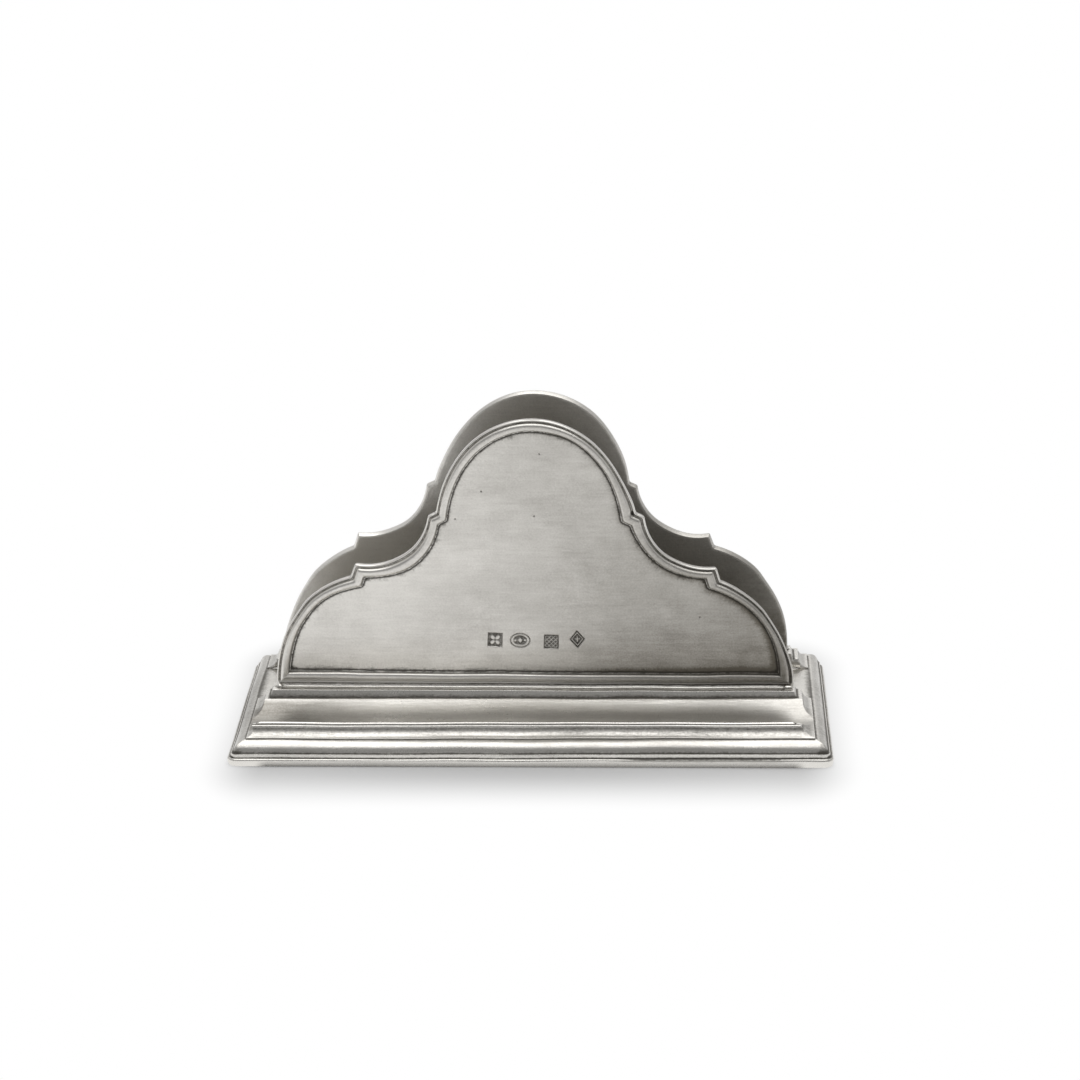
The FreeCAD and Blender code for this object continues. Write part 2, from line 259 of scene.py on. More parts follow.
def arc(start, end, sweep_deg, steps=14):
    """Points after start on an arc to end."""
    start, end = np.array(start, float), np.array(end, float)
    centre = arc_centre(start, end, sweep_deg)
    turns = np.linspace(0, math.radians(sweep_deg), steps + 1)[1:]
    spoke = start - centre
    return [(centre[0] + spoke[0] * math.cos(t) - spoke[1] * math.sin(t),
             centre[1] + spoke[0] * math.sin(t) + spoke[1] * math.cos(t)) for t in turns]


def quarter_turn(run, rise):
    """Angle of an arc over run and rise that starts along one of them."""
    return 2 * math.degrees(math.atan2(run, rise))


def span(values, low, high):
    """0 at low, 1 at high and straight between; it falls where high is the lower of the two."""
    return np.clip((values - low) / (high - low), 0.0, 1.0)


def bell(values, centre, width):
    """1 at centre, and next to nothing two widths away."""
    return np.exp(-((values - centre) / width) ** 2)


def in_scene(name, data):
    """A new object for a mesh, a lamp or a camera."""
    made = bpy.data.objects.new(name, data)
    bpy.context.scene.collection.objects.link(made)
    return made


def spots_of(mesh):
    """Where a mesh's vertices are, in mm."""
    return np.array([v.co for v in mesh.vertices]) / MM


def put(mesh, spots):
    """Moves a mesh's vertices to spots in mm."""
    mesh.vertices.foreach_set("co", (spots * MM).astype(np.float32).ravel())


def wear_and_light_of(mesh):
    wear = np.empty(len(mesh.vertices), np.float32)
    mesh.attributes["wear"].data.foreach_get("value", wear)
    return wear


def store(mesh, name, values):
    """Gives each vertex a number or a vector, under a name."""
    values = np.array(values, np.float32)
    kind, field = ("FLOAT", "value") if values.ndim == 1 else ("FLOAT_VECTOR", "vector")
    layer = mesh.attributes.get(name) or mesh.attributes.new(name, kind, "POINT")
    layer.data.foreach_set(field, values.ravel())


def guide(name, rows, wear, **vectors):
    """Points for a tree to read, in metres, with the wear and any vectors as attributes."""
    mesh = bpy.data.meshes.new(name)
    mesh.from_pydata([tuple(MM * v for v in row) for row in rows], [], [])
    for key, values in {"wear": wear, **vectors}.items():
        store(mesh, key, values)
    return in_scene(name, mesh)


def new_tree(name, *inputs):
    """An empty Geometry Nodes tree with named inputs, given as (name, socket type)."""
    tree = bpy.data.node_groups.new(name, "GeometryNodeTree")
    for label, kind in inputs:
        tree.interface.new_socket(name=label, in_out="INPUT", socket_type="NodeSocket" + kind)
    tree.interface.new_socket(name="Geometry", in_out="OUTPUT", socket_type="NodeSocketGeometry")
    return Wire(tree).node("NodeGroupInput")


def read(geometry, index, value, kind="FLOAT_VECTOR"):
    """The value that a point of another geometry has."""
    return index.node("GeometryNodeSampleIndex",
                      {"Geometry": geometry, "Value": value, "Index": index},
                      data_type=kind, domain="POINT")


def spot_at(geometry, index):
    """Where a point of another geometry is."""
    return read(geometry, index, index.node("GeometryNodeInputPosition"))


def read_wear_and_light(geometry, index):
    stored = index.node("GeometryNodeInputNamedAttribute", {"Name": "wear"}, data_type="FLOAT")
    return read(geometry, index, stored, "FLOAT")


def points_of(source, name):
    """The points of the guide that a tree was given under a name."""
    return source.node("GeometryNodeObjectInfo", {"Object": source.out(name)}).out("Geometry")


def count(geometry, component="MESH"):
    return geometry.node("GeometryNodeAttributeDomainSize", {"Geometry": geometry},
                         component=component)


def lattice(columns, rows):
    """A grid of points, with each point's column and row."""
    grid = columns.node("GeometryNodeMeshGrid", {"Vertices X": columns, "Vertices Y": rows})
    index = columns.node("GeometryNodeInputIndex")
    return grid, index.maths("FLOOR", (index + 0.5) / rows), index % rows


def end_tree(grid, place, wear, metal):
    """Puts the grid's points in place, stores the wear and gives the mesh its metal."""
    stored = grid.node("GeometryNodeStoreNamedAttribute",
                       {"Geometry": grid, "Name": "wear", "Value": wear},
                       data_type="FLOAT", domain="POINT")
    placed = grid.node("GeometryNodeSetPosition", {"Geometry": stored, "Position": place})
    joined = grid.node("GeometryNodeMergeByDistance", {"Geometry": placed,
                                                        "Distance": weld_distance})
    whole = grid.node("GeometryNodeRealizeInstances", {"Geometry": joined})
    done = grid.node("GeometryNodeSetMaterial", {"Geometry": whole, "Material": metal})
    grid.node("NodeGroupOutput", {"Geometry": done})


def grown(name, tree, **values):
    """Runs a tree once and keeps what it makes as a plain mesh object."""
    blank = in_scene(name + "_start", bpy.data.meshes.new(name + "_start"))
    modifier = blank.modifiers.new("grow", "NODES")
    modifier.node_group = tree
    for item in tree.interface.items_tree:
        if item.in_out == "INPUT":
            modifier[item.identifier] = values[item.name.replace(" ", "_").lower()]
    bpy.context.view_layer.update()
    graph = bpy.context.evaluated_depsgraph_get()
    mesh = bpy.data.meshes.new_from_object(blank.evaluated_get(graph),
                                           preserve_all_data_layers=True, depsgraph=graph)
    blank.modifiers.clear()
    used = [v for v in values.values() if isinstance(v, bpy.types.Object)]
    for spent in [blank, *used]:
        bpy.data.objects.remove(spent)
    mesh.materials.clear()      # a grid's mesh starts with an empty slot
    mesh.materials.append(values["metal"])
    mesh.polygons.foreach_set("material_index", [0] * len(mesh.polygons))
    return in_scene(name, mesh)


def uneven(spots):
    """How far hand work has moved each point, in mm: long slow waves, mostly along X."""
    rng = np.random.default_rng(11)
    moved = np.zeros_like(spots)
    for _ in range(14):             # waves of 13 to 60 mm, the longer the higher
        length = rng.uniform(13.0, 60.0)
        way = rng.normal(size=3) * (1.0, 0.45, 0.5)
        wave = spots @ (way / np.linalg.norm(way)) * (2 * math.pi / length)
        lean = rng.normal(size=3) * (0.5, 0.9, 1.0)
        moved += np.sin(wave + rng.uniform(0, 6.28))[:, None] * lean * 0.0011 * length
    return moved * span(spots[:, 2:], 0.0, 4.0)


def finished(piece, warp=None):
    """Closes the shell, turns its faces out, adds the hand work and keeps it in the CAD box."""
    work = bmesh.new()
    work.from_mesh(piece.data)
    bmesh.ops.remove_doubles(work, verts=work.verts, dist=weld_distance)
    bmesh.ops.holes_fill(work, edges=[e for e in work.edges if e.is_boundary])
    bmesh.ops.dissolve_degenerate(work, edges=work.edges, dist=1e-6)
    bmesh.ops.recalc_face_normals(work, faces=work.faces)
    work.to_mesh(piece.data)
    work.free()
    spots = spots_of(piece.data)
    spots += uneven(spots)
    if warp:
        spots = warp(spots)
    low, high = (np.array(corner) / MM for corner in cad_box)
    put(piece.data, np.clip(spots, low, high))
    piece.data.update()
    piece.data.shade_smooth()


def fixed(piece, slot, *nodes):
    """The piece stands for its CAD nodes and stays with the one body there is."""
    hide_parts(*nodes)
    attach(piece, "root")


# A moulding led round a rounded rectangle.  Each row of the section has its own
# inset, corner radius and height, so the quarter round is mitred and the bead turns round.
source = new_tree("moulded slab", ("Section", "Object"), ("Width", "Float"), ("Depth", "Float"),
                  ("Corner radius", "Float"), ("Spacing", "Float"), ("Metal", "Material"))
slab_tree = source.tree
radius = source.out("Corner radius")
half_size = source.xyz(source.out("Width") * 0.5, source.out("Depth") * 0.5)
path = source.node("GeometryNodeCurvePrimitiveQuadrilateral",
                   {"Width": source.out("Width"), "Height": source.out("Depth")})
path = source.node("GeometryNodeFilletCurve", {"Curve": path, "Count": 16, "Radius": radius},
                   mode="POLY")
path = source.node("GeometryNodeResampleCurve",
                   {"Curve": path, "Length": source.out("Spacing")}, mode="LENGTH")
section = points_of(source, "Section")
round_count = count(path, "CURVE")
grid, column, row = lattice(round_count + 1, count(section))
spot = spot_at(path, column % round_count)
parts = spot_at(section, row).parts()
inset, corner = parts.out("X"), parts.out("Y")


def held(spot, limit):
    """A spot held between -limit and limit, along X, Y and Z."""
    spot = spot.vector("MINIMUM", spot, limit)
    return spot.vector("MAXIMUM", spot, spot.vector("MULTIPLY", limit, (-1.0, -1.0, -1.0)))


core = held(spot, source.vector("SUBTRACT", half_size, source.xyz(radius, radius)))
outward = source.vector("NORMALIZE", source.vector("SUBTRACT", spot, core))
limit = source.vector("SUBTRACT", half_size, source.xyz(inset + corner, inset + corner))
limit = source.vector("MAXIMUM", limit, (0.0, 0.0, 0.0))
ringed = held(source.vector("ADD", spot, outward), limit)
round_off = source.vector("MULTIPLY", outward, source.xyz(corner, corner))
ringed = source.vector("ADD", ringed, round_off)
ringed = source.vector("ADD", ringed, source.xyz(z=parts.out("Z")))
end_tree(grid, ringed, read_wear_and_light(section, row), source.out("Metal"))

casting_metal = pewter("pewter_casting", 0.20, 0.36, 0.8)
middle = base_depth / 2
flat_end = middle - 2.0         # the section stops here, and a flat face closes the rest
line = [(flat_end, hollow_height), (hollow_inset, hollow_height), (hollow_inset, 0.0),
        (bead_foot_inset, 0.0)]
line += arc(line[-1], (0.0, bead_swell_height), -quarter_turn(bead_foot_inset, bead_swell_height))
line += arc(line[-1], (bead_height - bead_swell_height, bead_height), -90.0)
line += [(bead_top_inset, bead_height), (bead_top_inset, ledge_height),
         (round_inset, ledge_height)]
line += arc(line[-1], (cove_inset, plinth_height),
            -quarter_turn(plinth_height - ledge_height, cove_inset - round_inset))
line += [(flat_end, plinth_height)]


def slab_corner(inset, height):
    """Plan radius of the slab's corners at a point of its section."""
    if height > 0.001 and inset >= hollow_inset and height < hollow_height + 0.01:
        return max(hollow_corner_radius - (inset - hollow_inset), 0.0)
    if height <= 0.001:
        share = (inset - bead_foot_inset) / (hollow_inset - bead_foot_inset)
        return bead_corner_radius + share * (hollow_corner_radius - bead_corner_radius)
    return max(bead_corner_radius - inset, 0.0)


def plinth_wear_and_light(inset, height, crease):
    """Wear and painted light along the section: dark at the joint and in the groove behind the
    bead, painted shade at the quarter round's foot, and a bead face made bright, partly as
    rubbed metal and partly as a painted reflection of the floor."""
    joint = bell(inset, cove_inset + 0.05, 0.17) * (height > 6.0)
    groove = (inset > 0.5) * (inset < 1.1) * (height > 2.0) * (height < 3.1)
    # Painted highlight on the bead's face, partly real burnish.
    burnish_and_highlight = (inset < 0.35) * span(height, 2.1, 1.8)
    # Painted shade on the quarter round's lower part.
    quarter_round_foot_shade = (span(height, 5.2, 3.7) * (inset >= round_inset) * (inset < cove_inset)
                   * (height >= ledge_height - 0.2))
    wear = np.maximum(crease, -0.46) - 1.4 * joint - 0.36 * quarter_round_foot_shade
    return np.clip(wear + burnish_and_highlight - 0.15 * groove, -0.9, 1.0)


rows = worn([(u, v, slab_corner(u, v)) for u, v in line], 0.13)
section_guide = guide("plinth_section", rows[:, [0, 2, 1]], plinth_wear_and_light(*rows[:, [0, 1, 3]].T))
plinth = grown("plinth_casting", slab_tree, section=section_guide, width=base_width * MM,
               depth=base_depth * MM, corner_radius=bead_corner_radius * MM,
               spacing=0.8 * MM, metal=casting_metal)


def bead_and_side_shade(spots):
    """Painted shade in places: darker patches on the front bead's right part, and on the sides a
    darker quarter round, groove and joint, the joint partly a real dark joint.
    """
    x, y, z = spots.T
    bead_shade = np.maximum((0.5 + 0.5 * np.sin(x * 0.21 + 0.6)) * span(x, 8.0, 22.0),
                            np.minimum(span(x, 28.0, 40.0), 0.9))
    bead_shade *= span(x, 85.0, 73.0) * span(z, 1.0, 1.9) * (z < bead_height + 0.1)
    bead_shade *= y < front_edge + 1.05
    inward = base_width / 2 - np.abs(x)         # 0 on the sides' outer face
    quarter_round_shade = span(inward, 5.0, 4.0) * (z > ledge_height)
    groove = span(inward, round_inset + 0.4, round_inset + 0.2) * (z > bead_swell_height)
    joint = bell(inward, cove_inset - 0.1, 0.55) * (z > 5.0)
    joint *= np.abs(y) < base_depth / 2 - cove_inset - 0.2
    return 1.15 * bead_shade + 0.35 * quarter_round_shade + 0.8 * groove + 0.85 * joint


def slope_up(spots):
    """The mouldings were filed a little high towards the right."""
    share = span(spots[:, 2], 1.2, 2.7) * span(spots[:, 2], 12.0, 10.0)
    spots[:, 2] += share * (0.12 + 0.003 * spots[:, 0])
    return spots


# Painted shade, taken off the wear: the bead's right part and the plinth's sides are darkened.
film = bead_and_side_shade(spots_of(plinth.data))
store(plinth.data, "wear", np.clip(wear_and_light_of(plinth.data) - film, -0.9, 1.0))
finished(plinth, slope_up)
fixed(plinth, "pewter_casting", "base_plinth")

# ---------------------------------------------------------------- pen tray
# The front upper casting, soldered on the plinth: cove and lip on three sides, a
# pen trough open at both ends, and a riser to the platform that carries the plate.
edge_height = 7.2           # the upright edge ends and the cove starts
cove_top_inset, lip_inset = 8.3, 8.72
lip_height, front_lip_height = 10.2, 9.95
lip_thickness = 0.65
rim_inset, rim_top = 8.92, 10.65            # a small raised rim along the trough's front
trough_start, trough_end, trough_depth = 10.05, 30.6, 3.2
riser_foot, riser_top = 9.9, 10.9           # the slope from lip to platform at the ends
platform_height, seat_height = 12.4, 12.1
plate_thickness = 4.1
channel_front, channel_back = -3.3, 25.0
moulding_width = 9.0        # how far the outer mouldings reach in from the base's edges
mitre_easing = 0.12


def upper_edge(edge, inward, top):
    """Upright edge, cove and rounded lip from the plinth up; inward is the way to the middle."""
    cove_top = top - lip_thickness
    cove_turn = quarter_turn(cove_top - edge_height, cove_top_inset - cove_inset)
    line = [(edge + inward * cove_inset, plinth_height), (edge + inward * cove_inset, edge_height)]
    line += arc(line[-1], (edge + inward * cove_top_inset, cove_top), inward * cove_turn)
    line += [(edge + inward * (cove_top_inset + 0.04), top - 0.38)]
    return line + arc(line[-1], (edge + inward * lip_inset, top), -inward * 90.0, steps=6)


def block_film(places, heights, label):
    """Film along a section: at the joint, under the lip and, on the long one, by the rim."""
    half = base_width / 2 if label == "ends" else base_depth / 2
    in_moulding = half - np.abs(places) < moulding_width
    under_lip = span(heights, 8.5, 9.2) * (heights < 9.65)
    film = (1.2 * bell(heights, plinth_height + 0.15, 0.24) + 0.42 * under_lip) * in_moulding
    if label == "section":
        behind_lip = bell(places, front_edge + rim_inset - 0.06, 0.11)
        on_rim = span(heights, rim_top - 0.45, rim_top - 0.25) * (places < front_edge + 13.0)
        film += (0.7 * behind_lip - 1.1 * on_rim) * (heights < rim_top + 0.1)
    return film


# A section led along X and stopped by the section of its ends: the height is the lower of
# the two, so the mouldings meet in mitres and the trough runs out through the end mouldings.
source = new_tree("stepped block", ("Section", "Object"), ("Ends", "Object"),
                  ("Easing", "Float"), ("Metal", "Material"))
block_tree = source.tree
section, ends = points_of(source, "Section"), points_of(source, "Ends")
grid, column, row = lattice(count(ends), count(section))
along, across = spot_at(ends, column).parts(), spot_at(section, row).parts()
height = source.maths("SMOOTH_MIN", along.out("Z"), across.out("Z"), source.out("Easing"))
place = source.xyz(along.out("X"), across.out("Y"), height)
end_wear, run_wear = read_wear_and_light(ends, column), read_wear_and_light(section, row)
lower = source.maths("LESS_THAN", along.out("Z"), across.out("Z"))
end_tree(grid, place, run_wear + (end_wear - run_wear) * lower, source.out("Metal"))


def upper_casting(label, line, node, warp, film=None):
    """An upper casting from its section across Y, with the same edges at both ends."""
    left = -base_width / 2
    half = upper_edge(left, 1, lip_height)
    half += [(left + riser_foot, lip_height), (left + riser_top, platform_height)]
    ends = half + [(-u, v) for u, v in half[::-1]]
    guides = {}
    for key, points, columns in (("section", line, (2, 0, 1)), ("ends", ends, (0, 2, 1))):
        rows = worn([(u, v, 0.0) for u, v in points], 0.12, finest=5.0, longest=2.0)
        wear = np.clip(rows[:, 3] - block_film(rows[:, 0], rows[:, 1], key), -1.0, 1.0)
        guides[key] = guide(f"{label}_{key}", rows[:, columns], wear)
    piece = grown(label + "_casting", block_tree, easing=mitre_easing * MM, metal=casting_metal,
                  **guides)
    # Painted shade, where a casting is given it, goes into hem's third value.
    if film:
        extra_shade = film(spots_of(piece.data))
        store(piece.data, "hem", np.column_stack([np.zeros((len(extra_shade), 2)), extra_shade]))
    finished(piece, warp)
    fixed(piece, "pewter_casting", node)


trough_turn = 2 * quarter_turn(2 * trough_depth, trough_end - trough_start)
line = upper_edge(front_edge, 1, front_lip_height)
line += [(front_edge + rim_inset, front_lip_height)]
line += arc(line[-1], (front_edge + rim_inset + 0.7, rim_top), -90.0, steps=8)
line += [(front_edge + trough_start - 0.3, rim_top), (front_edge + trough_start, lip_height)]
line += arc(line[-1], (front_edge + trough_end, lip_height), trough_turn, steps=48)
line += [(front_edge + trough_end + 1.0, lip_height),
         (front_edge + trough_end + 2.0, platform_height),
         (channel_front - plate_thickness, platform_height),
         (channel_front - plate_thickness, seat_height), (channel_front, seat_height),
         (channel_front, plinth_height)]


def lip_shift(spots):
    """The front lip was filed a little to the left of the edges under it."""
    at_front = span(spots[:, 1], -25.0, -34.0)
    spots[:, 0] -= 1.5 * span(spots[:, 2], edge_height, lip_height) * at_front
    return slope_up(spots)


def trough_end_shade(spots):
    """Painted shade in the trough's two ends, most of it on the left, dimming what they reflect."""
    x, from_front = spots[:, 0], spots[:, 1] - front_edge
    in_trough = span(from_front, 10.3, 11.8) * span(from_front, 31.0, 29.0)
    return in_trough * (0.50 * span(x, -45.0, -75.0) + 0.22 * span(x, 58.0, 82.0))


upper_casting("tray", line, "pen_tray", lip_shift, trough_end_shade)

# ---------------------------------------------------------------- rear step
# The rear upper casting: the same mouldings and platform, with no trough.
line = [(channel_back, plinth_height), (channel_back, seat_height),
        (channel_back + plate_thickness, seat_height),
        (channel_back + plate_thickness, platform_height),
        (middle - riser_top, platform_height), (middle - riser_foot, lip_height)]
line += upper_edge(middle, -1, lip_height)[::-1]
upper_casting("step", line, "rear_step", slope_up)

# ---------------------------------------------------------------- front plate
# The upright scroll-topped plate: one casting with a thin outer fillet, a cushioned band
# round a sunk panel, and four small punch marks struck in the panel.
plate_metal = pewter("pewter_plate", 0.07, 0.40, 0.5, shade_drift=0.46)
plate_half_width, crown_height = 79.1, 96.3
lobe_radius, lobe_turn = 33.2, 73.0
crown_radius, flank_radius = 27.0, 40.2
crown_end, flank_end_turn = 43.1, 10.1      # degrees up from level, where crown and flank end
hollow_turn = 93.4
rim_width = 4.0             # outline to the foot of the band's inner wall
panel_depth = 2.6           # the sunk panel's face, in front of the plate's back
punches = [(-11.65, 26.94, -2.0, "flower", 3.4), (-4.09, 26.96, 2.5, "oval", 3.4),
           (5.31, 26.65, -1.5, "lattice", 3.4), (13.2, 27.43, 1.5, "lozenge", 3.4)]
punches += [(x, z, 0.0, "pit", 0.8) for x, z in (
    (-15.4, 73.9), (-23.35, 65.4), (0.4, 66.4), (2.1, 85.8), (50.3, 34.8))]


def polar(centre, radius, turn_deg):
    turn = math.radians(turn_deg)
    return np.array([centre[0] + radius * math.cos(turn), centre[1] + radius * math.sin(turn)])


def outline_parts():
    """The right half of the outline, foot to crown: lines (start, end) and
    arcs (centre, radius, first angle, last angle)."""
    foot = np.array([plate_half_width, platform_height])
    upright_end = foot + (0.0, 2.1)
    lobe = upright_end - (lobe_radius, 0.0)
    lobe_end = polar(lobe, lobe_radius, lobe_turn)
    shelf = lobe_end + (-1.4, 4.05)
    crown = np.array([0.0, crown_height - crown_radius])
    flank = polar(crown, crown_radius - flank_radius, crown_end)
    flank_end = polar(flank, flank_radius, flank_end_turn)
    shoulder = flank_end + (2.5, -1.2)
    hollow = arc_centre(shelf, shoulder, -hollow_turn)
    hollow_radius = np.linalg.norm(shelf - hollow)
    first = math.degrees(math.atan2(*(shelf - hollow)[::-1]))
    return [((0.0, platform_height), foot), (foot, upright_end),
            (lobe, lobe_radius, 0.0, lobe_turn), (lobe_end, shelf),
            (hollow, hollow_radius, first, first - hollow_turn), (shoulder, flank_end),
            (flank, flank_radius, flank_end_turn, crown_end), (crown, crown_radius, crown_end, 90.0)]


def moved_in(part, inset):
    """A line or arc of the outline, moved towards the inside on its left."""
    if len(part) == 2:
        start, end = np.array(part[0], float), np.array(part[1], float)
        way = (end - start) / np.linalg.norm(end - start)
        return start + inset * np.array([-way[1], way[0]]), way
    centre, radius, first, last = part
    return centre, radius - inset if last > first else radius + inset


def part_end(part, last):
    if len(part) == 2:
        return np.array(part[1 if last else 0], float)
    return polar(part[0], part[1], part[3 if last else 2])


def meeting(first, second, inset):
    """Where two neighbouring parts meet once both are moved in."""
    corner = part_end(first, True)
    (a, b), (c, d) = moved_in(first, inset), moved_in(second, inset)
    if len(first) == len(second) == 2:
        share = np.linalg.solve(np.column_stack([b, -d]), c - a)[0]
        return a + share * b
    centre, radius, spot, way = (a, b, c, d) if len(first) == 4 else (c, d, a, b)
    spoke = corner - centre
    if len(first) == len(second) or abs(spoke @ way) < 1e-6:        # they meet smoothly
        return centre + spoke / np.linalg.norm(spoke) * radius
    nearest = spot + ((centre - spot) @ way) * way
    reach = math.sqrt(max(radius ** 2 - np.sum((nearest - centre) ** 2), 0.0))
    options = [nearest + reach * way, nearest - reach * way]
    return min(options, key=lambda point: np.linalg.norm(point - corner))


def outline(inset):
    """The closed outline moved in, counter-clockwise, with the same points for any inset."""
    parts, spacing = outline_parts(), 0.25
    knots = [np.array([0.0, platform_height + inset])]
    knots += [meeting(a, b, inset) for a, b in zip(parts, parts[1:])]
    knots += [np.array([0.0, crown_height - inset])]
    half = []
    for part, start, end in zip(parts, knots, knots[1:]):
        if len(part) == 2:
            points = int(np.linalg.norm(np.subtract(part[1], part[0])) / spacing) + 2
            half += [start + (end - start) * t for t in np.linspace(0, 1, points)[:-1]]
            continue
        centre, _, first, last = part
        radius = moved_in(part, inset)[1]
        low, high = (math.degrees(math.atan2(*(p - centre)[::-1])) for p in (start, end))
        low += 360 * round((first - low) / 360)
        high += 360 * round((last - high) / 360)
        points = int(math.radians(abs(last - first)) * part[1] / spacing) + 2
        half += [polar(centre, radius, t) for t in np.linspace(low, high, points)[:-1]]
    half = np.array(half + [knots[-1]])
    return np.concatenate([half, (half[1:-1] * (-1, 1))[::-1]])


def eased_loop(loop, width):
    """A closed loop with its corners eased; width is in points."""
    reach = int(4 * width)
    return blurred(np.concatenate([loop[-reach:], loop, loop[:reach]]), reach, width)


# Two matching lines, the outline and the foot of the band's wall, thinned but for the corners.
outer, inner = (eased_loop(outline(inset), 1.5) for inset in (0.0, rim_width))
step_out = np.roll(outer, -1, axis=0) - outer
bend = np.abs(np.diff(np.unwrap(np.arctan2(step_out[:, 1], step_out[:, 0])), append=0.0))
bend[-1] = 0.0
near_corner = eased_loop(bend[:, None], 5.0)[:, 0] > 0.02
foot_run = outer[:, 1] < platform_height + 0.3
pace = np.where(near_corner, 1.0, np.where(foot_run, 1 / 6, 1 / 2.4))
kept = np.unique(np.floor(np.cumsum(pace)), return_index=True)[1]
outer, inner = outer[kept], inner[kept]
inner += span(inner[:, 1:], 50.0, 85.0) * (-0.5, 0.65)      # the band thins at the crown


def pulled(loop, pulls):
    """The loop drawn to its filed shape by pulls (x, z, shift in x, shift in z)."""
    spots, shifts = np.array(pulls)[:, :2], np.array(pulls)[:, 2:]
    weight = bell(np.hypot(*(loop[:, None] - spots).transpose(2, 0, 1)), 0.0, 8.0)
    return loop + weight @ shifts / (weight.sum(axis=1) + 0.02)[:, None]


# The pattern was filed by eye: its halves differ a little and the band thins on the lobes.
outer = pulled(outer, [
    (0, 96, 0, 0), (20, 88, 0, 0), (28, 78, 0.1, 0), (35, 68, 1.4, 0.5), (33, 61, 0.9, 0.2),
    (52, 51, 0.9, 0.9), (57, 49, 1.2, -0.2), (64, 43, 0, -0.3), (75, 27, -1.0, -0.2),
    (79, 14, 0, 0), (79, 4, 0, 0), (40, 2, 0, 0), (0, 2, 0, 0), (-40, 2, 0, 0),
    (-20, 88, 0, 0), (-28, 78, 0.4, 0), (-35, 68, 0.9, 0), (-33, 61, 0.9, 0), (-48, 53, 0.2, 0.4),
    (-57, 49, 0.7, 0.3), (-62, 44, 0, 0.5), (-75, 27, 0.9, 0.2), (-79, 14, 1.0, 0), (-79, 4, 0.8, 0)])
inner = pulled(inner, [
    (0, 92, 0, -0.1), (14, 89, 0.5, 0.6), (23, 80, 1.2, 0.3), (25, 66, 0.8, 0), (32, 56, 1.5, 0.4),
    (44, 49, 0.9, 1.3), (52, 46, 0.6, 2.0), (57, 42, 0.3, 0.5), (63, 38, 0.2, 1.5),
    (70, 31, 0.7, 0.9), (73, 25, -0.1, 0.4), (75, 17, -0.4, 0), (75, 8, -0.5, 0),
    (40, 6, 0, 0), (0, 6, 0, 0), (-40, 6, 0, 0), (-14, 91, 0.3, -0.2), (-23, 80, 0.2, 0),
    (-26, 66, 0.3, 0), (-32, 56, 1.0, 0), (-40, 51, 0.9, -0.3), (-48, 47, 0, 1.1),
    (-54, 44, 1.0, 0.4), (-61, 39, 0, 1.8), (-70, 28, 0.1, 0.9), (-74, 20, 0.7, 0),
    (-75, 12, 0.6, 0), (-75, 6, 0.5, 0)])
rail = span(outer[:, 1], platform_height + 1.0, platform_height + 0.1)      # 1 along the foot

# The rim's section led along the outline, between the outer line and the inner one.
source = new_tree("rim on an outline", ("Outline", "Object"), ("Section", "Object"),
                  ("Rim width", "Float"), ("Metal", "Material"))
rim_tree = source.tree
path, section = points_of(source, "Outline"), points_of(source, "Section")
round_count = count(path)
grid, column, row = lattice(round_count + 1, count(section))
column = column % round_count
stored = source.node("GeometryNodeInputNamedAttribute", {"Name": "inward"},
                     data_type="FLOAT_VECTOR")
inward = read(path, column, stored)
shape = spot_at(section, row).parts()
share = shape.out("X") / source.out("Rim width")
place = source.vector("MULTIPLY", inward, source.xyz(share, 0.0, share))
place = source.vector("ADD", spot_at(path, column), place)
depth = shape.out("Y") + (shape.out("Z") - shape.out("Y")) * inward.parts().out("Y")
place = source.vector("ADD", place, source.xyz(y=depth))
end_tree(grid, place, read_wear_and_light(section, row), source.out("Metal"))

rim_line = [(1.2, 0.0), (0.4, 0.0), (0.0, -1.6), (0.0, -2.85), (0.2, -3.1), (0.5, -3.1),
            (0.68, -2.72), (1.05, -2.72), (1.22, -3.4), (1.5, -3.8), (1.9, -4.02), (2.45, -4.1),
            (3.0, -4.06), (3.5, -3.92), (3.8, -3.6), (rim_width, -panel_depth),
            (rim_width + 0.35, -panel_depth)]
rim_rows = worn([(u, v, 0.0) for u, v in rim_line[::-1]], 0.09, finest=13.0)[::-1]
in_from_edge, front = rim_rows[:, 0], rim_rows[:, 1]
# The third column is the depth along the foot, where the rim has no fillet.
rim_rows[:, 2] = np.where(in_from_edge < 1.25, np.maximum(front * 1.36, -4.05), front)
rim_rows[:, 3] = np.where(front > -0.6, 0.2, rim_rows[:, 3])
rim_rows[:, 3] *= np.where(np.abs(in_from_edge - 0.8) < 0.3, 0.45, 1.0)
wall = span(in_from_edge, 3.8, 4.0)
rim_rows[:, 3] = rim_rows[:, 3] * (1 - wall) - 0.5 * wall


def panel_guides():
    """Fresh copies of the outline and the rim's section for the tree."""
    across = inner - outer
    inward = np.column_stack([across[:, 0] * MM, rail, across[:, 1] * MM])
    flat = np.column_stack([outer[:, 0], np.zeros(len(outer)), outer[:, 1]])
    return {"outline": guide("rim_outline", flat, np.zeros(len(outer)), inward=inward),
            "section": guide("rim_section", rim_rows[:, [0, 1, 2]], rim_rows[:, 3])}


